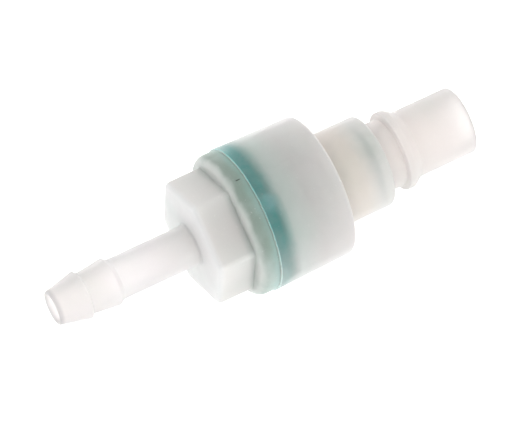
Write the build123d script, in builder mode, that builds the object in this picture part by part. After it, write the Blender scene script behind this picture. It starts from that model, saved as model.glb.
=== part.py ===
from build123d import *
import os

os.makedirs("parts", exist_ok=True)

# In-line check valve. Millimetres. The flow runs along +X, +Z is up, and the origin is on
# the flow axis at the middle of the overall length.

# Hose barb
bore_r = 2.0
tip_r = 2.5
crest_r = 3.5
notch_r = 3.03
shank_r = 3.0
tip_to_crest = 4.57
crest_pitch = 4.4
crest_land = 0.2
notch_slope = 0.35
barb_length = 21.55
tip_round = 0.2
shank_fillet = 0.3

# Hexagon and flange
hex_sides = 6
hex_flats = 16.0
hex_length = 5.55
hex_corner_round = 1.0
hex_end_round = 0.8
hex_root_fillet = 0.15
flange_r = 10.47
flange_thickness = 2.75
flange_round = 1.25

# Housing shell and collar
housing_inlet_r = 10.65
housing_outlet_r = 10.36
housing_length = 12.05
housing_rim_break = 0.12
housing_edge_round = 0.45
collar_r = 6.75
collar_length = 8.5
collar_edge_round = 0.5
end_wall = 1.8

# Outlet nipple
neck_r = 5.0
neck_length = 2.7
bead_r = 5.83
bead_flat = 1.05
bead_length = 2.6
bead_lead = 0.2
bead_front_round = 0.2
bead_back_round = 0.6
tube_r = 4.93
tube_length = 8.85
tube_edge_round = 0.35
nipple_bore_r = 3.2
outlet_chamfer = 0.2
nipple_fit_r = 5.08
nipple_lead = 0.3
collar_bore_r = 5.10
collar_stop_r = 4.6
collar_stop_length = 3.1
mouth_chamfer = 0.25
snap_height = 0.2
snap_width = 0.6
snap_setback = 0.7

# Screwed joint between the inlet body and the housing
thread_pitch = 1.5
male_root_r = 7.05
male_crest_r = 7.92
female_root_r = 7.19
female_crest_r = 8.02
tooth_crest_half = 0.12
flank_slope = 0.577
thread_play = 0.06
thread_run_out = 0.5
trim_margin = 1.0
cutter_overrun = 0.12
spigot_neck_r = 6.9
gland_r = 9.45
gland_length = 3.2
body_seal_corner_r = 1.1

# Poppet chamber in the inlet body
seat_setback = 1.0
seat_bore_r = 2.5
pocket_r = 5.3
rim_thickness = 0.9
rim_play = 0.03

# Poppet
lift = 2.5
stop_play = 0.05
disc_r = 3.7
disc_thickness = 1.0
disc_edge_round = 0.2
boss_r = 1.9
poppet_boss_length = 3.0
guide_boss_length = 1.0
stem_r = 1.25
stem_end_gap = 0.1
nose_tip_r = 1.0
nose_length = 1.9
nose_shoulder = 0.4
nose_lip = 0.25
seal_mean_r = 3.0
seal_section_r = 0.7
poppet_groove_play = 0.05
seat_gap = 0.03

# Stem guide
guide_r = 6.9
hub_r = 2.3
hub_seat_r = 3.1
hub_bore_r = 1.30
arm_width = 1.1
arm_count = 3
arm_play = 0.1
hub_length = 2.4
hub_cut_margin = 0.5

# Spring
wire_r = 0.2
spring_r = 2.45
spring_turns = 6.5
spring_end_gap = 0.02

# Nipple seal
groove_r = 4.05
groove_width = 1.9
groove_lip = 0.6
nipple_seal_corner_r = 0.5
seal_play = 0.1

# How near a radius has to be for an edge to be picked by it
radius_match = 0.01

# Stations along the flow axis
overall = (barb_length + hex_length + flange_thickness + housing_length
           + collar_length + neck_length + bead_length + tube_length)
tip_x = -overall / 2
first_crest_x = tip_x + tip_to_crest
second_crest_x = first_crest_x + crest_pitch
hex_x = tip_x + barb_length
flange_x = hex_x + hex_length
joint_x = flange_x + flange_thickness
shoulder_x = joint_x + housing_length
collar_end_x = shoulder_x + collar_length
bead_x = collar_end_x + neck_length
tube_x = bead_x + bead_length
outlet_x = tube_x + tube_length
gland_end_x = joint_x + gland_length
ledge_x = shoulder_x - end_wall
spigot_end_x = ledge_x - rim_thickness - rim_play
nipple_x = ledge_x + collar_stop_length

# Seat and poppet stations: the seat is a 45 degree cone
seat_x = joint_x - seat_setback
seat_apex_x = seat_x - seat_bore_r
seat_end_x = seat_apex_x + pocket_r
seal_x = seat_apex_x + seal_mean_r + seal_section_r * 2 ** 0.5 + seat_gap * 2 ** 0.5
disc_x = seal_x + seal_section_r + poppet_groove_play
disc_back_x = disc_x + disc_thickness
poppet_boss_x = disc_back_x + poppet_boss_length
guide_boss_x = poppet_boss_x + lift + stop_play
spring_seat_x = guide_boss_x + guide_boss_length
guide_hub_end_x = ledge_x + hub_length


def revolved_ring(points):
    """A ring about the flow axis from (station, radius) corners."""
    with BuildPart() as ring:
        with BuildSketch(Plane.XZ):
            with BuildLine():
                Polyline(*points, close=True)
            make_face()
        revolve(axis=Axis.X)
    return ring.part


def seal_ring(x, inner_r, outer_r, width, corner_r):
    """A rubber ring of rounded rectangular section, centred at station x."""
    with BuildPart() as ring:
        with BuildSketch(Plane.XZ):
            with Locations((x, (inner_r + outer_r) / 2)):
                RectangleRounded(width, outer_r - inner_r, corner_r)
        revolve(axis=Axis.X)
    return ring.part


def tooth_half_width(radius):
    """Half the thickness of the male thread's tooth at a radius."""
    return tooth_crest_half + (male_crest_r - radius) * flank_slope


def thread_cutter(start_x, end_x, inner_r, outer_r, inner_half, outer_half):
    """A helical bar about the flow axis that cuts a thread groove."""
    with BuildPart() as cutter:
        with BuildLine() as helix:
            Helix(
                pitch=thread_pitch,
                height=end_x - start_x,
                radius=inner_r,
                center=(start_x, 0, 0),
                direction=(1, 0, 0),
            )
        start = helix.line @ 0
        outward = Vector(0, start.Y, start.Z).normalized()
        with BuildSketch(Plane(origin=start, x_dir=outward, z_dir=helix.line % 0)):
            with BuildLine():
                Polyline(
                    (0, -inner_half),
                    (outer_r - inner_r, -outer_half),
                    (outer_r - inner_r, outer_half),
                    (0, inner_half),
                    close=True,
                )
            make_face()
        sweep(path=helix.wires()[0], is_frenet=True)
    return cutter.part


# ---------------------------------------------------------------- inlet body
# The spigot's thread is cut on a longer blank, which is then trimmed to length.
blank_end_x = spigot_end_x + 2 * thread_pitch
thread_lead_in = male_crest_r - male_root_r
spigot_trim = revolved_ring([
    (spigot_end_x, 0),
    (spigot_end_x, male_root_r),
    (spigot_end_x - thread_lead_in - trim_margin, male_crest_r + trim_margin),
    (blank_end_x + trim_margin, male_crest_r + trim_margin),
    (blank_end_x + trim_margin, 0),
])
male_cutter_r = male_crest_r + cutter_overrun
male_cutter = thread_cutter(
    gland_end_x - thread_pitch / 2,
    spigot_end_x + thread_pitch,
    male_root_r,
    male_cutter_r,
    thread_pitch / 2 - tooth_half_width(male_root_r),
    thread_pitch / 2 - tooth_half_width(male_cutter_r),
)

with BuildPart() as inlet_body:
    # Barb and shank
    with BuildSketch(Plane.XZ) as barb_outline:
        with BuildLine():
            Polyline(
                (tip_x, 0),
                (tip_x, tip_r),
                (first_crest_x - crest_land, crest_r),
                (first_crest_x, crest_r),
                (first_crest_x + notch_slope, notch_r),
                (second_crest_x - crest_land, crest_r),
                (second_crest_x, crest_r),
                (second_crest_x + 2 * notch_slope, shank_r),
                (flange_x, shank_r),
                (flange_x, 0),
                close=True,
            )
        make_face()
        fillet(barb_outline.vertices().sort_by_distance((tip_x, tip_r))[0], tip_round)
    revolve(axis=Axis.X)

    # Hexagon with softened moulded edges
    with BuildSketch(Plane.YZ.offset(hex_x)):
        RegularPolygon(
            hex_flats / 2, hex_sides, major_radius=False, rotation=180 / hex_sides)
    extrude(amount=hex_length + flange_thickness / 2)
    hex_corners = inlet_body.edges().filter_by(Axis.X)
    fillet(hex_corners, hex_corner_round)
    hex_end = inlet_body.faces().filter_by(Plane.YZ).sort_by(SortBy.AREA)[-2:].sort_by(Axis.X)[0]
    fillet(hex_end.outer_wire().edges(), hex_end_round)
    shank_root = inlet_body.edges().filter_by(
        lambda edge: (edge.geom_type == GeomType.CIRCLE
                      and abs(edge.radius - shank_r) < radius_match)
    ).sort_by(Axis.X)[-1]
    fillet(shank_root, shank_fillet)

    # Flange, and the spigot that screws into the housing
    with BuildSketch(Plane.XZ) as flange_outline:
        with BuildLine():
            Polyline(
                (flange_x, 0),
                (flange_x, flange_r),
                (joint_x, flange_r),
                (joint_x, spigot_neck_r),
                (gland_end_x, spigot_neck_r),
                (gland_end_x + male_crest_r - spigot_neck_r, male_crest_r),
                (blank_end_x, male_crest_r),
                (blank_end_x, 0),
                close=True,
            )
        make_face()
        fillet(flange_outline.vertices().sort_by_distance((flange_x, flange_r))[0], flange_round)
    revolve(axis=Axis.X)
    flange_face = inlet_body.faces().filter_by(Plane.YZ).sort_by(
        lambda face: abs(face.center().X - flange_x))[0]
    fillet(flange_face.inner_wires()[0].edges(), hex_root_fillet)
    add(male_cutter, mode=Mode.SUBTRACT)
    add(spigot_trim, mode=Mode.SUBTRACT)

    # Flow bore, seat cone and poppet pocket
    with BuildSketch(Plane.XZ):
        with BuildLine():
            Polyline(
                (tip_x, 0),
                (tip_x, bore_r + tip_round),
                (tip_x + tip_round, bore_r),
                (hex_x, bore_r),
                (hex_x + seat_bore_r - bore_r, seat_bore_r),
                (seat_x, seat_bore_r),
                (seat_end_x, pocket_r),
                (spigot_end_x, pocket_r),
                (spigot_end_x, 0),
                close=True,
            )
        make_face()
    revolve(axis=Axis.X, mode=Mode.SUBTRACT)

inlet_body.part.label = "inlet_body"
export_step(inlet_body.part, "parts/inlet_body.step")


# ------------------------------------------------------------------- housing
female_cutter_r = female_root_r - cutter_overrun
female_cutter = thread_cutter(
    gland_end_x - thread_pitch,
    spigot_end_x + thread_run_out,
    female_cutter_r,
    female_crest_r,
    tooth_half_width(female_cutter_r) + thread_play,
    tooth_half_width(female_crest_r) + thread_play,
)

with BuildPart() as housing:
    with BuildSketch(Plane.XZ) as shell_outline:
        with BuildLine():
            Polyline(
                (joint_x, gland_r),
                (joint_x, housing_inlet_r - housing_rim_break),
                (joint_x + housing_rim_break, housing_inlet_r),
                (shoulder_x, housing_outlet_r),
                (shoulder_x, collar_r),
                (collar_end_x, collar_r),
                (collar_end_x, collar_bore_r + mouth_chamfer),
                (collar_end_x - mouth_chamfer, collar_bore_r),
                (nipple_x, collar_bore_r),
                (nipple_x, collar_stop_r),
                (ledge_x, collar_stop_r),
                (ledge_x, female_root_r),
                (gland_end_x, female_root_r),
                (gland_end_x, gland_r),
                close=True,
            )
        make_face()
        fillet(
            shell_outline.vertices().sort_by_distance((shoulder_x, housing_outlet_r))[0],
            housing_edge_round)
        fillet(
            shell_outline.vertices().sort_by_distance((collar_end_x, collar_r))[0],
            collar_edge_round)
    revolve(axis=Axis.X)
    add(female_cutter, mode=Mode.SUBTRACT)

    # Groove that the nipple's rib snaps into
    with BuildSketch(Plane.XZ):
        with Locations((nipple_x + snap_setback + snap_width / 2, collar_bore_r)):
            Rectangle(snap_width + 2 * stop_play, 2 * (snap_height + stop_play))
    revolve(axis=Axis.X, mode=Mode.SUBTRACT)

housing.part.label = "housing"
export_step(housing.part, "parts/housing.step")


# ----------------------------------------------------------------- body seal
body_seal_width = gland_length - 2 * seal_play
with BuildPart() as body_seal:
    add(seal_ring(
        joint_x + gland_length / 2, spigot_neck_r, gland_r, body_seal_width,
        body_seal_corner_r))

body_seal.part.label = "body_seal"
export_step(body_seal.part, "parts/body_seal.step")


# -------------------------------------------------------------------- poppet
with BuildPart() as poppet:
    seal_front_x = seal_x - seal_section_r - poppet_groove_play
    seal_root_r = seal_mean_r - seal_section_r
    with BuildSketch(Plane.XZ):
        with BuildLine():
            Polyline(
                (seal_front_x - nose_length, 0),
                (seal_front_x - nose_length, nose_tip_r),
                (seal_front_x - nose_shoulder, seal_root_r),
                (seal_front_x, seal_root_r + nose_lip),
                (seal_front_x, seal_root_r),
                (disc_x, seal_root_r),
                (disc_x, disc_r),
                (disc_back_x, disc_r),
                (disc_back_x, boss_r),
                (poppet_boss_x, boss_r),
                (poppet_boss_x, stem_r),
                (nipple_x - stem_end_gap, stem_r),
                (nipple_x - stem_end_gap, 0),
                close=True,
            )
        make_face()
    revolve(axis=Axis.X)
    disc_rims = poppet.edges().filter_by(GeomType.CIRCLE).group_by(SortBy.RADIUS)[-1]
    fillet(disc_rims, disc_edge_round)

poppet.part.label = "poppet"
export_step(poppet.part, "parts/poppet.step")


# --------------------------------------------------------------- poppet seal
with BuildPart() as poppet_seal:
    with BuildSketch(Plane.XZ):
        with Locations((seal_x, seal_mean_r)):
            Circle(seal_section_r)
    revolve(axis=Axis.X)

poppet_seal.part.label = "poppet_seal"
export_step(poppet_seal.part, "parts/poppet_seal.step")


# -------------------------------------------------------------------- spring
with BuildPart() as spring:
    coil_start_x = disc_back_x + wire_r + spring_end_gap
    coil_end_x = spring_seat_x - wire_r - spring_end_gap
    with BuildLine() as coil:
        Helix(
            pitch=(coil_end_x - coil_start_x) / spring_turns,
            height=coil_end_x - coil_start_x,
            radius=spring_r,
            center=(coil_start_x, 0, 0),
            direction=(1, 0, 0),
        )
    with BuildSketch(Plane(origin=coil.line @ 0, z_dir=coil.line % 0)):
        Circle(wire_r)
    sweep(path=coil.wires()[0], is_frenet=True)

spring.part.label = "spring"
export_step(spring.part, "parts/spring.step")


# ---------------------------------------------------------------- stem guide
with BuildPart() as stem_guide:
    # Clamped rim
    with BuildSketch(Plane.YZ.offset(ledge_x - rim_thickness)):
        Circle(guide_r)
        Circle(pocket_r - arm_play, mode=Mode.SUBTRACT)
    extrude(amount=rim_thickness)

    # Arms, reaching back into the poppet pocket
    with BuildSketch(Plane.YZ.offset(spring_seat_x)):
        with PolarLocations(pocket_r / 2, arm_count):
            Rectangle(pocket_r - 2 * arm_play, arm_width)
    extrude(amount=ledge_x - spring_seat_x)

    # Hub with the spring's seat and its locating boss
    with BuildSketch(Plane.XZ):
        with BuildLine():
            Polyline(
                (guide_boss_x, 0),
                (guide_boss_x, boss_r),
                (spring_seat_x, boss_r),
                (spring_seat_x, hub_seat_r),
                (ledge_x, hub_seat_r),
                (ledge_x, hub_r),
                (guide_hub_end_x, hub_r),
                (guide_hub_end_x, 0),
                close=True,
            )
        make_face()
    revolve(axis=Axis.X)
    with BuildSketch(Plane.YZ.offset(guide_boss_x - hub_cut_margin)):
        Circle(hub_bore_r)
    extrude(amount=guide_hub_end_x - guide_boss_x + 2 * hub_cut_margin, mode=Mode.SUBTRACT)

stem_guide.part.label = "stem_guide"
export_step(stem_guide.part, "parts/stem_guide.step")


# ------------------------------------------------------------- outlet nipple
groove_end_x = collar_end_x - groove_lip
groove_start_x = groove_end_x - groove_width
snap_x = nipple_x + snap_setback
bead_front_x = bead_x + bead_lead
bead_back_x = bead_front_x + bead_flat
with BuildPart() as outlet_nipple:
    with BuildSketch(Plane.XZ) as nipple_outline:
        with BuildLine():
            Polyline(
                (nipple_x, nipple_bore_r),
                (nipple_x, nipple_fit_r - nipple_lead),
                (nipple_x + nipple_lead, nipple_fit_r),
                (snap_x, nipple_fit_r),
                (snap_x + snap_width / 2, nipple_fit_r + snap_height),
                (snap_x + snap_width, nipple_fit_r + snap_height),
                (snap_x + snap_width, nipple_fit_r),
                (groove_start_x, nipple_fit_r),
                (groove_start_x, groove_r),
                (groove_end_x, groove_r),
                (groove_end_x, nipple_fit_r),
                (collar_end_x, nipple_fit_r),
                (collar_end_x, neck_r),
                (bead_x, neck_r),
                (bead_front_x, bead_r),
                (bead_back_x, bead_r),
                (bead_x + bead_length, tube_r),
                (outlet_x, tube_r),
                (outlet_x, nipple_bore_r),
                close=True,
            )
        make_face()
        fillet(
            nipple_outline.vertices().sort_by_distance((outlet_x, tube_r))[0], tube_edge_round)
        fillet(
            nipple_outline.vertices().sort_by_distance((bead_back_x, bead_r))[0],
            bead_back_round)
        fillet(
            nipple_outline.vertices().sort_by_distance((bead_front_x, bead_r))[0],
            bead_front_round)
    revolve(axis=Axis.X)
    mouth_edge = outlet_nipple.edges().filter_by(
        lambda edge: (edge.geom_type == GeomType.CIRCLE
                      and abs(edge.radius - nipple_bore_r) < radius_match)
    ).sort_by(Axis.X)[-1]
    chamfer(mouth_edge, outlet_chamfer)

outlet_nipple.part.label = "outlet_nipple"
export_step(outlet_nipple.part, "parts/outlet_nipple.step")


# --------------------------------------------------------------- nipple seal
nipple_seal_width = groove_width - 2 * seal_play
with BuildPart() as nipple_seal:
    add(seal_ring(
        groove_start_x + groove_width / 2, groove_r, collar_bore_r, nipple_seal_width,
        nipple_seal_corner_r))

nipple_seal.part.label = "nipple_seal"
export_step(nipple_seal.part, "parts/nipple_seal.step")
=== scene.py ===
import math
from collections import namedtuple

import bpy
from mathutils import Matrix, Vector


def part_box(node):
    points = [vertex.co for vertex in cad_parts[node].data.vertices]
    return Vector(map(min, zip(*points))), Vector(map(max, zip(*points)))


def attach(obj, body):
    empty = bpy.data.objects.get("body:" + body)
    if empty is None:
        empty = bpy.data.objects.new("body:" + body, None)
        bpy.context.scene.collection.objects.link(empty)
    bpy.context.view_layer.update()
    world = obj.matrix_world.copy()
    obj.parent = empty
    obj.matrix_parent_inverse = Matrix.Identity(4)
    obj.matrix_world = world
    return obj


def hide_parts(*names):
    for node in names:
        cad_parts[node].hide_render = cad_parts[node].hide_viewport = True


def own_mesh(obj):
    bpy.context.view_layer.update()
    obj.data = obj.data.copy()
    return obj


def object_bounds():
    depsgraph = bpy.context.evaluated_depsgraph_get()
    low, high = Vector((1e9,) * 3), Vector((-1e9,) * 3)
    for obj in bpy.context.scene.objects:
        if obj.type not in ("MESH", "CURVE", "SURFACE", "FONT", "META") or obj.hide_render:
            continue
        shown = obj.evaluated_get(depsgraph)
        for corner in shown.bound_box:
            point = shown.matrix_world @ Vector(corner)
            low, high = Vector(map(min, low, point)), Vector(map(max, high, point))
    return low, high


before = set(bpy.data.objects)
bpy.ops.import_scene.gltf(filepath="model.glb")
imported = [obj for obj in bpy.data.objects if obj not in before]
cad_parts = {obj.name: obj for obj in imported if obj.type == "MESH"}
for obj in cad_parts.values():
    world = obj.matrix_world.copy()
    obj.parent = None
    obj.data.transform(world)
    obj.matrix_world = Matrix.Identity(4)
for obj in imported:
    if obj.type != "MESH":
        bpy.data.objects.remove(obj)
cad_low, cad_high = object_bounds()

MM = 0.001
FLOW_AXIS = Vector((1, 0, 0))

# Camera: how the flow axis lies in the picture, and how far off the viewer stands
AXIS_SLOPE = math.radians(24.9)
AXIS_TILT = math.radians(16.5)
FACING_ROLL = math.radians(63.0)
LENS_MM = 347.6
SENSOR_MM = 36.0
VIEW_DISTANCE = 0.683
AIM_STATION = 0.855 * MM
AIM_RIGHT = -1.04 * MM
AIM_UP = -1.06 * MM

# Studio: radiance of the surroundings near the horizon and straight overhead, the height
# (as a sine) where the one starts to change into the other, the floor and one low lamp
HORIZON_LIGHT = 1.33
OVERHEAD_LIGHT = 1.18
HORIZON_TOP = 0.1
FLOOR_HALF = 1.5
FLOOR_GLOW = 0.58
LAMP_PLACE = (-0.10, -0.60, 0.06)
LAMP_SIZE = 0.45
LAMP_WATTS = 0.85

# Stations along the flow axis
inlet_low, inlet_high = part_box("inlet_body")
housing_low, housing_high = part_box("housing")
nipple_low, nipple_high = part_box("outlet_nipple")
tip_x = inlet_low.x
joint_x = housing_low.x
flange_x = joint_x - 2.75 * MM
hex_x = flange_x - 5.55 * MM
collar_end_x = housing_high.x
collar_x = collar_end_x - 8.5 * MM
outlet_x = nipple_high.x

# Colours of the inlet body. The paler versions of the seal's colours are painted light: the
# brightly lit -Y side pales the seal seen through the wall.
# The barb's white and the hexagon's grey are one milky plastic: painted light where light
# shines through the thin barb, painted shade on the thick hexagon.
TIP_RIM = (0.60, 0.585, 0.585)
TIP_WHITE = (0.89, 0.86, 0.85)
BARB_WHITE = (0.965, 0.94, 0.935)
# Painted shade: greyer at the barb's root, where it meets the hexagon.
ROOT_SHADE = (0.82, 0.81, 0.79)
# Painted light: the hexagon's end face a little lighter than its flats.
HEX_END_LIT = (0.70, 0.71, 0.71)
HEX_WHITE = (0.685, 0.68, 0.66)
FLANGE_PALE = (0.54, 0.58, 0.55)
# Painted shade: darker green-grey on the flange's rounded left face, over the seal's green seen
# through the wall.
FLANGE_SHADE = (0.255, 0.32, 0.28)
FLANGE_SHADE_LIT_SIDE = (0.42, 0.50, 0.465)
FLANGE_GREEN = (0.28, 0.375, 0.325)
FLANGE_GREEN_LIT_SIDE = (0.40, 0.53, 0.49)
FLANGE_TEAL = (0.31, 0.49, 0.43)
FLANGE_TEAL_LIT_SIDE = (0.38, 0.57, 0.53)
# Painted highlight along the joint, partly standing for a thin pale flash there.
JOINT_HIGHLIGHT = (0.33, 0.42, 0.38)

# Colours of the housing and the nipple. The housing's grey is painted shade on the same milky
# plastic that is painted whiter on the thin nipple, where light shines through. The paler
# versions of the seal's colours are painted light, where the brightly lit -Y side pales the
# seal.
BAND_TEAL = (0.18, 0.60, 0.57)
BAND_LIT_SIDE = (0.58, 0.84, 0.79)
BAND_EDGE = (0.42, 0.62, 0.58)
HALO_GREEN = (0.63, 0.71, 0.67)
HALO_LIT_SIDE = (0.68, 0.75, 0.72)
HOUSING_GREY = (0.70, 0.695, 0.68)
SHOULDER_GREY = (0.78, 0.77, 0.76)
COLLAR_PEACH = (0.91, 0.855, 0.79)
COLLAR_GREEN = (0.85, 0.85, 0.82)
NIPPLE_WHITE = (0.865, 0.84, 0.815)
OUTLET_WHITE = (0.82, 0.79, 0.78)

# Half the width of the light line at the joint between the inlet body and the housing, a
# painted highlight along the joint's edge that partly stands for a thin pale flash there
JOINT_HIGHLIGHT_HALF_WIDTH = 0.09 * MM

# The seal's colour fades out between these, toward the -Y side, with a ragged edge: painted
# light on the brightly lit -Y side
LIT_START_Y = -8.9 * MM
LIT_FULL_Y = -10.5 * MM
RAGGED_REACH = 0.8 * MM

# See-through shares of the milky walls
BARB_CLEAR = 0.65
HEX_CLEAR = 0.35
JOINT_CLEAR = 0.1
BAND_CLEAR = 0.8
HOUSING_CLEAR = 0.55
NIPPLE_CLEAR = 0.6

# Noise scales of the milky plastic, in cycles per metre
DRIFT_SCALE = 260.0
RAGGED_SCALE = 420.0
PATCH_SCALE = 330.0
BREAK_SCALE = 900.0
TONE_SCALE = 95.0
SPECK_SCALE = 2600.0
SHEEN_SCALE = 420.0
GRAIN_SCALE = 3200.0

# Marks of this one valve. reach is the size on each axis, core the share of the reach
# where the mark is full, and see_through replaces the wall's see-through share.
Spot = namedtuple("Spot", "centre reach core strength colour see_through")
FLANGE_NICK = Spot(
    centre=Vector((joint_x - 1.03 * MM, 0.56 * MM, 10.64 * MM)),
    reach=(0.42 * MM, 0.12 * MM, 0.5 * MM),
    core=0.8, strength=0.95, colour=(0.03, 0.04, 0.035), see_through=HEX_CLEAR)
BAND_PATCH = Spot(
    centre=Vector((joint_x + 1.3 * MM, -4.3 * MM, 9.7 * MM)),
    reach=(1.3 * MM, 1.9 * MM, 1.9 * MM),
    core=0.2, strength=0.6, colour=(0.35, 0.54, 0.56), see_through=0.5)
COLLAR_SHADE = Spot(
    centre=Vector((collar_end_x - 1.6 * MM, -1.5 * MM, 6.6 * MM)),
    reach=(2.2 * MM, 3.0 * MM, 3.0 * MM),
    core=0.2, strength=0.5, colour=(0.58, 0.64, 0.59), see_through=HOUSING_CLEAR)

# Spring: its wire, its turns with one closed turn at each end, and how finely it is drawn
WIRE_R = 0.2 * MM
SPRING_TURNS = 6.5
CLOSED_TURNS = 1.0
CLOSED_PITCH = 2.05 * WIRE_R
STEPS_PER_TURN = 64
WIRE_SIDES = 16


# ----------------------------------------------------------------- camera
def camera_axes():
    """The camera's right, up and back directions in the CAD frame."""
    axis = Vector((
        math.cos(AXIS_TILT) * math.cos(AXIS_SLOPE),
        math.cos(AXIS_TILT) * math.sin(AXIS_SLOPE),
        -math.sin(AXIS_TILT),
    ))
    near = Vector((
        math.sin(AXIS_TILT) * math.cos(AXIS_SLOPE),
        math.sin(AXIS_TILT) * math.sin(AXIS_SLOPE),
        math.cos(AXIS_TILT),
    ))
    across = axis.cross(near)
    near_world = Vector((0, -math.cos(FACING_ROLL), math.sin(FACING_ROLL)))
    across_world = FLOW_AXIS.cross(near_world)
    return [
        FLOW_AXIS * axis[i] + near_world * near[i] + across_world * across[i]
        for i in range(3)
    ]


def make_camera():
    """A long lens at the viewing angle."""
    right, up, back = camera_axes()
    aim = FLOW_AXIS * AIM_STATION + right * AIM_RIGHT + up * AIM_UP
    place = aim + back * VIEW_DISTANCE
    data = bpy.data.cameras.new("camera")
    data.lens = LENS_MM
    data.sensor_width = SENSOR_MM
    camera = bpy.data.objects.new("camera", data)
    camera.matrix_world = Matrix((
        (right.x, up.x, back.x, place.x),
        (right.y, up.y, back.y, place.y),
        (right.z, up.z, back.z, place.z),
        (0, 0, 0, 1),
    ))
    bpy.context.scene.collection.objects.link(camera)
    bpy.context.scene.camera = camera


# --------------------------------------------------------------- materials
class Shader:
    """A material being made: its Principled shader and the nodes that feed it."""

    def __init__(self, name, sockets):
        self.material = bpy.data.materials.new(name)
        self.material.use_nodes = True
        self.tree = self.material.node_tree
        self.principled = self.tree.nodes["Principled BSDF"]
        for socket, value in sockets.items():
            self.drive(socket, value)

    def feed(self, socket, value):
        """Links an output to a socket, or sets the socket to a plain value."""
        if isinstance(value, bpy.types.NodeSocket):
            self.tree.links.new(value, socket)
        else:
            socket.default_value = value

    def drive(self, socket, value):
        """Feeds one of the Principled shader's own sockets."""
        self.feed(self.principled.inputs[socket], value)

    def node(self, kind, inputs, **settings):
        """A new node with its settings and inputs."""
        made = self.tree.nodes.new(kind)
        for name, value in settings.items():
            setattr(made, name, value)
        for socket, value in inputs.items():
            self.feed(made.inputs[socket], value)
        return made

    def place(self):
        """Position in the CAD frame, in metres."""
        return self.node("ShaderNodeTexCoord", {}).outputs["Object"]

    def split(self, place):
        """The X, Y and Z of a position."""
        return self.node("ShaderNodeSeparateXYZ", {"Vector": place}).outputs

    def stretched(self, place, factors):
        """Position scaled by a factor on each axis."""
        return self.node(
            "ShaderNodeVectorMath", {0: place, 1: factors}, operation="MULTIPLY"
        ).outputs["Vector"]

    def shifted(self, place, offset):
        """Position moved by an offset."""
        return self.node(
            "ShaderNodeVectorMath", {0: place, 1: offset}, operation="ADD"
        ).outputs["Vector"]

    def length(self, place):
        """Distance of a position from the origin."""
        return self.node(
            "ShaderNodeVectorMath", {0: place}, operation="LENGTH").outputs["Value"]

    def noise(self, place, scale, detail=3.0):
        """Fractal noise from 0 to 1, with scale in cycles per metre."""
        return self.node(
            "ShaderNodeTexNoise",
            {"Vector": place, "Scale": scale, "Detail": detail, "Roughness": 0.55},
        ).outputs["Fac"]

    def remap(self, value, low, high, to_low, to_high):
        """value taken from low..high to to_low..to_high, clamped."""
        return self.node("ShaderNodeMapRange", {
            "Value": value, "From Min": low, "From Max": high,
            "To Min": to_low, "To Max": to_high,
        }).outputs["Result"]

    def wander(self, place, scale, reach, spread=0.3):
        """Noise from -reach to reach, where spread is how far it strays from its middle."""
        return self.remap(self.noise(place, scale), 0.5 - spread, 0.5 + spread, -reach, reach)

    def combine(self, operation, *values):
        """One Math node on values or outputs."""
        return self.node(
            "ShaderNodeMath", dict(enumerate(values)), operation=operation).outputs["Value"]

    def ramp(self, value, stops):
        """Colours that follow a value from 0 to 1."""
        made = self.node("ShaderNodeValToRGB", {"Fac": value})
        elements = made.color_ramp.elements
        while len(elements) < len(stops):
            elements.new(1.0)
        for element, (position, colour) in zip(elements, stops):
            element.position = position
            element.color = (*colour, 1)
        return made.outputs["Color"]

    def stations(self, value, stops):
        """Colours that follow a station, with stops of (station, colour)."""
        low, high = stops[0][0], stops[-1][0]
        share = self.remap(value, low, high, 0, 1)
        return self.ramp(share, [((x - low) / (high - low), colour) for x, colour in stops])

    def mix(self, factor, first, second, blend="MIX"):
        """A colour mix of two colours or outputs."""
        made = self.node("ShaderNodeMix", {}, data_type="RGBA", blend_type=blend)
        self.feed(made.inputs[0], factor)
        self.feed(made.inputs[6], first)
        self.feed(made.inputs[7], second)
        return made.outputs[2]

    def bump(self, height, distance, strength):
        """A bumped normal, linked to the shader."""
        normal = self.node("ShaderNodeBump", {
            "Height": height, "Distance": distance, "Strength": strength,
        }).outputs["Normal"]
        self.drive("Normal", normal)


def wall_tint(shader, seeded, along, stops, lit_side_stops, drift_reach):
    """The wall's colour by station. It wanders along the axis, least at the hexagon and the
    barb, and turns to the paler stops toward the -Y side and, at random, in patches: painted
    light, where the brightly lit -Y side pales the seal seen through the wall."""
    drift = shader.combine(
        "MULTIPLY",
        shader.wander(seeded, DRIFT_SCALE, drift_reach),
        shader.remap(along["X"], hex_x + 2.0 * MM, flange_x, 0.1, 1))
    wandering = shader.combine("ADD", along["X"], drift)
    ragged_y = shader.combine(
        "ADD", along["Y"], shader.wander(seeded, RAGGED_SCALE, RAGGED_REACH))
    # Painted light: the seal's colour pales toward the brightly lit -Y side, and at random in
    # patches.
    unlit_share = shader.combine(
        "MULTIPLY",
        shader.remap(ragged_y, LIT_FULL_Y, LIT_START_Y, 0, 1),
        shader.remap(shader.noise(seeded, PATCH_SCALE), 0.36, 0.58, 0.6, 1))
    return shader.mix(
        unlit_share, shader.stations(wandering, lit_side_stops), shader.stations(wandering, stops))


def with_joint_highlight(shader, seeded, station, tint):
    """tint with a light, broken line where the inlet body meets the housing: a painted
    highlight along the joint's edge, partly standing for a thin pale flash there.
    """
    at_joint = shader.combine("COMPARE", station, joint_x, JOINT_HIGHLIGHT_HALF_WIDTH)
    broken = shader.remap(shader.noise(seeded, BREAK_SCALE), 0.35, 0.6, 0.4, 1)
    return shader.mix(
        shader.combine("MULTIPLY", at_joint, broken), tint, (*JOINT_HIGHLIGHT, 1))


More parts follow.
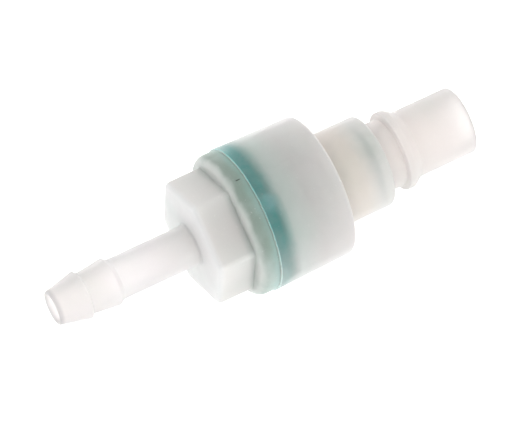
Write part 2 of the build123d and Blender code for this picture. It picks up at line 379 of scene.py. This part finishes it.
def with_flecks(shader, seeded, tint):
    """tint with slow changes of tone and fine pale specks."""
    tones = shader.ramp(shader.noise(seeded, TONE_SCALE, 2.0), [
        (0.35, (1.0, 0.975, 0.98)), (0.5, (0.985, 0.975, 0.977)), (0.65, (0.965, 0.98, 0.972)),
    ])
    toned = shader.mix(1.0, tint, tones, "MULTIPLY")
    specks = shader.remap(shader.noise(seeded, SPECK_SCALE, 2.0), 0.66, 0.78, 0, 0.3)
    return shader.mix(specks, toned, (0.97, 0.97, 0.95, 1))


def inside_spot(shader, place, seeded, spot):
    """From 0 outside a spot to the spot's strength inside it, with a soft, ragged edge."""
    sharpness = [1 / reach for reach in spot.reach]
    away = shader.length(shader.stretched(shader.shifted(place, -spot.centre), sharpness))
    ragged = shader.combine(
        "ADD", away, shader.wander(seeded, sharpness[0], 0.3, spread=0.2))
    return shader.remap(ragged, spot.core, 1.1, spot.strength, 0)


def natural_plastic(name, stops, lit_side_stops, clear, spots, drift_reach, sheen, seed):
    """Milky, see-through moulded plastic. stops are (station, colour) along the flow axis, and
    the paler stops are the same colours paled by painted light on the brightly lit -Y side.
    clear is the see-through share, or stops of (station, share) where it changes. drift_reach
    is how far the colours wander along the axis."""
    shader = Shader(name, {
        "IOR": 1.49,
        "Subsurface Weight": 1.0,
        "Subsurface Radius": (1.0, 1.0, 1.0),
        "Subsurface Scale": 0.003,
        "Sheen Weight": sheen,
        "Sheen Roughness": 0.3,
    })
    place = shader.place()
    seeded = shader.shifted(place, (seed, seed, seed))
    along = shader.split(place)
    station = along["X"]
    tint = wall_tint(shader, seeded, along, stops, lit_side_stops, drift_reach)
    tint = with_joint_highlight(shader, seeded, station, tint)
    tint = with_flecks(shader, seeded, tint)
    if isinstance(clear, list):
        clear = shader.stations(station, [(x, (share, share, share)) for x, share in clear])
    for spot in spots:
        inside = inside_spot(shader, place, seeded, spot)
        tint = shader.mix(inside, tint, (*spot.colour, 1))
        clear = shader.mix(inside, clear, (*[spot.see_through] * 3, 1))
    shader.drive("Base Color", tint)
    shader.drive("Transmission Weight", clear)

    sheen_marks = shader.noise(shader.stretched(seeded, (0.25, 1, 1)), SHEEN_SCALE)
    shader.drive("Roughness", shader.remap(sheen_marks, 0.3, 0.7, 0.42, 0.58))
    shader.bump(shader.noise(seeded, GRAIN_SCALE, 2.0), 0.02 * MM, 0.5)
    return shader.material


def inlet_plastic():
    """White at the barb and the hexagon, and green at the flange, near the teal seal."""
    start = [
        (tip_x, TIP_RIM),
        (tip_x + 0.2 * MM, TIP_RIM),
        (tip_x + 0.7 * MM, TIP_WHITE),
        (tip_x + 7.0 * MM, TIP_WHITE),
        (tip_x + 10.0 * MM, BARB_WHITE),
        (hex_x - 6.0 * MM, BARB_WHITE),
        (hex_x - 0.4 * MM, ROOT_SHADE),
        (hex_x + 0.1 * MM, HEX_END_LIT),
        (hex_x + 0.8 * MM, HEX_WHITE),
        (flange_x - 1.0 * MM, HEX_WHITE),
        (flange_x + 0.2 * MM, FLANGE_PALE),
    ]
    stops = start + [
        (flange_x + 0.8 * MM, FLANGE_SHADE),
        (joint_x - 1.0 * MM, FLANGE_GREEN),
        (joint_x - 0.3 * MM, FLANGE_TEAL),
        (inlet_high.x, HOUSING_GREY),
    ]
    lit_side_stops = start + [
        (flange_x + 0.9 * MM, FLANGE_SHADE_LIT_SIDE),
        (joint_x - 1.0 * MM, FLANGE_GREEN_LIT_SIDE),
        (joint_x - 0.3 * MM, FLANGE_TEAL_LIT_SIDE),
        (inlet_high.x, HOUSING_GREY),
    ]
    clear = [
        (tip_x, BARB_CLEAR),
        (hex_x - 6.0 * MM, BARB_CLEAR),
        (hex_x - 1.5 * MM, HEX_CLEAR),
        (joint_x - 0.25 * MM, HEX_CLEAR),
        (joint_x - 0.12 * MM, JOINT_CLEAR),
        (inlet_high.x, JOINT_CLEAR),
    ]
    return natural_plastic(
        "natural_plastic_inlet", stops, lit_side_stops, clear, [FLANGE_NICK],
        drift_reach=0.45 * MM, sheen=0.4, seed=0.0)


def housing_plastic():
    """A teal band over the body seal, a grey shell and a peach collar with a green end. The
    shell's grey is painted shade on the milky plastic.
    """
    end = [
        (joint_x + 7.0 * MM, HOUSING_GREY),
        (collar_x - 0.5 * MM, SHOULDER_GREY),
        (collar_x + 0.5 * MM, COLLAR_PEACH),
        (collar_x + 4.0 * MM, COLLAR_PEACH),
        (collar_end_x - 2.0 * MM, COLLAR_GREEN),
        (collar_end_x, COLLAR_GREEN),
    ]
    stops = [
        (joint_x, BAND_TEAL),
        (joint_x + 1.3 * MM, BAND_TEAL),
        (joint_x + 2.2 * MM, BAND_EDGE),
        (joint_x + 3.2 * MM, HALO_GREEN),
    ] + end
    lit_side_stops = [
        (joint_x, BAND_LIT_SIDE),
        (joint_x + 1.3 * MM, BAND_LIT_SIDE),
        (joint_x + 2.6 * MM, HALO_LIT_SIDE),
    ] + end
    clear = [
        (joint_x, JOINT_CLEAR),
        (joint_x + 0.1 * MM, JOINT_CLEAR),
        (joint_x + 0.2 * MM, BAND_CLEAR),
        (joint_x + 1.8 * MM, BAND_CLEAR),
        (joint_x + 3.4 * MM, HOUSING_CLEAR),
        (collar_end_x, HOUSING_CLEAR),
    ]
    return natural_plastic(
        "natural_plastic_housing", stops, lit_side_stops, clear, [BAND_PATCH, COLLAR_SHADE],
        drift_reach=0.25 * MM, sheen=0.9, seed=0.05)


def nipple_plastic():
    """Warm white, slightly greyer toward the outlet."""
    stops = [
        (nipple_low.x, NIPPLE_WHITE),
        (collar_end_x + 8.0 * MM, NIPPLE_WHITE),
        (outlet_x, OUTLET_WHITE),
    ]
    return natural_plastic(
        "natural_plastic_nipple", stops, stops, NIPPLE_CLEAR, [],
        drift_reach=0.35 * MM, sheen=0.4, seed=0.09)


def rubber(name, seed):
    """Teal moulded rubber with a dull, faintly mottled skin."""
    shader = Shader(name, {"IOR": 1.5, "Specular IOR Level": 0.4})
    seeded = shader.shifted(shader.place(), (seed, seed, seed))
    mottle = shader.noise(seeded, 600.0, 4.0)
    shader.drive("Base Color", shader.ramp(mottle, [
        (0.3, (0.004, 0.115, 0.112)), (0.55, (0.008, 0.155, 0.150)), (0.75, (0.02, 0.21, 0.20)),
    ]))
    shader.drive("Roughness", shader.remap(mottle, 0.3, 0.7, 0.45, 0.65))
    shader.bump(shader.noise(seeded, 5000.0, 3.0), 0.02 * MM, 0.5)
    return shader.material


def white_plastic(name, seed):
    """Opaque white moulded plastic of the inner parts."""
    shader = Shader(name, {
        "IOR": 1.5, "Subsurface Weight": 0.3, "Subsurface Scale": 0.0006,
    })
    seeded = shader.shifted(shader.place(), (seed, seed, seed))
    clouds = shader.noise(seeded, 350.0, 4.0)
    shader.drive("Base Color", shader.ramp(clouds, [
        (0.3, (0.70, 0.70, 0.67)), (0.7, (0.78, 0.78, 0.76)),
    ]))
    shader.drive("Roughness", shader.remap(clouds, 0.3, 0.7, 0.38, 0.52))
    shader.bump(shader.noise(seeded, 4200.0, 2.0), 0.01 * MM, 0.5)
    return shader.material


def spring_steel():
    """Drawn stainless wire: fine draw lines, and a slightly browner tone in patches."""
    shader = Shader("spring_steel", {"Metallic": 1.0})
    place = shader.place()
    patches = shader.noise(place, 900.0, 3.0)
    shader.drive("Base Color", shader.ramp(patches, [
        (0.3, (0.55, 0.55, 0.56)), (0.6, (0.66, 0.65, 0.63)), (0.8, (0.60, 0.55, 0.49)),
    ]))
    lines = shader.noise(shader.stretched(place, (9, 1, 1)), 4000.0, 2.0)
    shader.drive("Roughness", shader.remap(lines, 0.3, 0.7, 0.22, 0.42))
    shader.bump(lines, 0.005 * MM, 0.6)
    return shader.material


def dress(node, material):
    """Gives a carried-over CAD node its material."""
    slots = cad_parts[node].data.materials
    slots.clear()
    slots.append(material)


# ------------------------------------------------------------------ studio
def make_lamp():
    """A soft square lamp, low on the front side, that points at the valve."""
    data = bpy.data.lights.new("front_low_light", "AREA")
    data.shape = "SQUARE"
    data.size = LAMP_SIZE
    data.energy = LAMP_WATTS
    lamp = bpy.data.objects.new("front_low_light", data)
    lamp.location = LAMP_PLACE
    lamp.rotation_euler = (-Vector(LAMP_PLACE)).to_track_quat("-Z", "Y").to_euler()
    bpy.context.scene.collection.objects.link(lamp)


def make_studio():
    """White surroundings, slightly dimmer overhead, and the lamp."""
    world = bpy.data.worlds.new("studio")
    world.use_nodes = True
    tree = world.node_tree
    direction = tree.nodes.new("ShaderNodeTexCoord")
    split = tree.nodes.new("ShaderNodeSeparateXYZ")
    fall = tree.nodes.new("ShaderNodeMapRange")
    fall.inputs["From Min"].default_value = HORIZON_TOP
    fall.inputs["From Max"].default_value = 1.0
    fall.inputs["To Min"].default_value = HORIZON_LIGHT
    fall.inputs["To Max"].default_value = OVERHEAD_LIGHT
    tree.links.new(direction.outputs["Generated"], split.inputs["Vector"])
    tree.links.new(split.outputs["Z"], fall.inputs["Value"])
    background = tree.nodes["Background"]
    background.inputs["Color"].default_value = (1, 1, 1, 1)
    tree.links.new(fall.outputs["Result"], background.inputs["Strength"])
    bpy.context.scene.world = world
    make_lamp()
    bpy.context.scene.view_settings.view_transform = "Standard"


def make_floor():
    """A plain white floor under the valve, with a glow that keeps it nearly shadowless."""
    z = cad_low.z
    mesh = bpy.data.meshes.new("floor")
    corners = [
        (-FLOOR_HALF, -FLOOR_HALF, z), (FLOOR_HALF, -FLOOR_HALF, z),
        (FLOOR_HALF, FLOOR_HALF, z), (-FLOOR_HALF, FLOOR_HALF, z),
    ]
    mesh.from_pydata(corners, [], [(0, 1, 2, 3)])
    floor = bpy.data.objects.new("floor", mesh)
    bpy.context.scene.collection.objects.link(floor)
    sheet = Shader("floor_white", {
        "Base Color": (0.93, 0.93, 0.93, 1),
        "Roughness": 0.9,
        "Specular IOR Level": 0.1,
        "Emission Color": (1, 1, 1, 1),
        "Emission Strength": FLOOR_GLOW,
    })
    mesh.materials.append(sheet.material)


# ------------------------------------------------------------------ spring
def spring_mesh(low, high):
    """A helix with closed ends that fills the box from low to high along the axis."""
    coil_r = high.z - WIRE_R
    length = high.x - low.x - 2 * WIRE_R
    open_pitch = (length - 2 * CLOSED_TURNS * CLOSED_PITCH) / (SPRING_TURNS - 2 * CLOSED_TURNS)

    def station(turn):
        """How far along the axis the wire's centre is after a number of turns."""
        first = min(turn, CLOSED_TURNS)
        last = max(0.0, turn - (SPRING_TURNS - CLOSED_TURNS))
        return CLOSED_PITCH * (first + last) + open_pitch * (turn - first - last)

    verts, faces = [], []
    steps = int(SPRING_TURNS * STEPS_PER_TURN)
    for i in range(steps + 1):
        turn = i / STEPS_PER_TURN
        angle = turn * math.tau
        outward = Vector((0, math.cos(angle), math.sin(angle)))
        centre = outward * coil_r + FLOW_AXIS * (low.x + WIRE_R + station(turn))
        for k in range(WIRE_SIDES):
            a = k / WIRE_SIDES * math.tau
            verts.append(centre + (outward * math.cos(a) + FLOW_AXIS * math.sin(a)) * WIRE_R)
    for i in range(steps):
        ring, next_ring = i * WIRE_SIDES, (i + 1) * WIRE_SIDES
        for k in range(WIRE_SIDES):
            nxt = (k + 1) % WIRE_SIDES
            faces.append((ring + k, ring + nxt, next_ring + nxt, next_ring + k))
    faces.append(tuple(range(WIRE_SIDES)))
    faces.append(tuple(steps * WIRE_SIDES + k for k in reversed(range(WIRE_SIDES))))
    mesh = bpy.data.meshes.new("spring_coil")
    mesh.from_pydata(verts, [], faces)
    mesh.shade_smooth()
    return mesh


def make_spring():
    """A compression spring with closed ends, in the place of the CAD's plain helix."""
    low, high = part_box("spring")
    mesh = spring_mesh(low, high)
    mesh.materials.append(spring_steel())
    coil = bpy.data.objects.new("spring_coil", mesh)
    bpy.context.scene.collection.objects.link(coil)
    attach(coil, "valve_body")
    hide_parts("spring")
    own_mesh(coil)


# ------------------------------------------------------------------- build
make_camera()
make_studio()
make_floor()
dress("inlet_body", inlet_plastic())
dress("housing", housing_plastic())
dress("outlet_nipple", nipple_plastic())
dress("body_seal", rubber("teal_rubber_body", 0.02))
dress("nipple_seal", rubber("teal_rubber_nipple", 0.03))
dress("poppet_seal", rubber("teal_rubber_poppet", 0.04))
dress("poppet", white_plastic("white_plastic_poppet", 0.06))
dress("stem_guide", white_plastic("white_plastic_guide", 0.07))
make_spring()
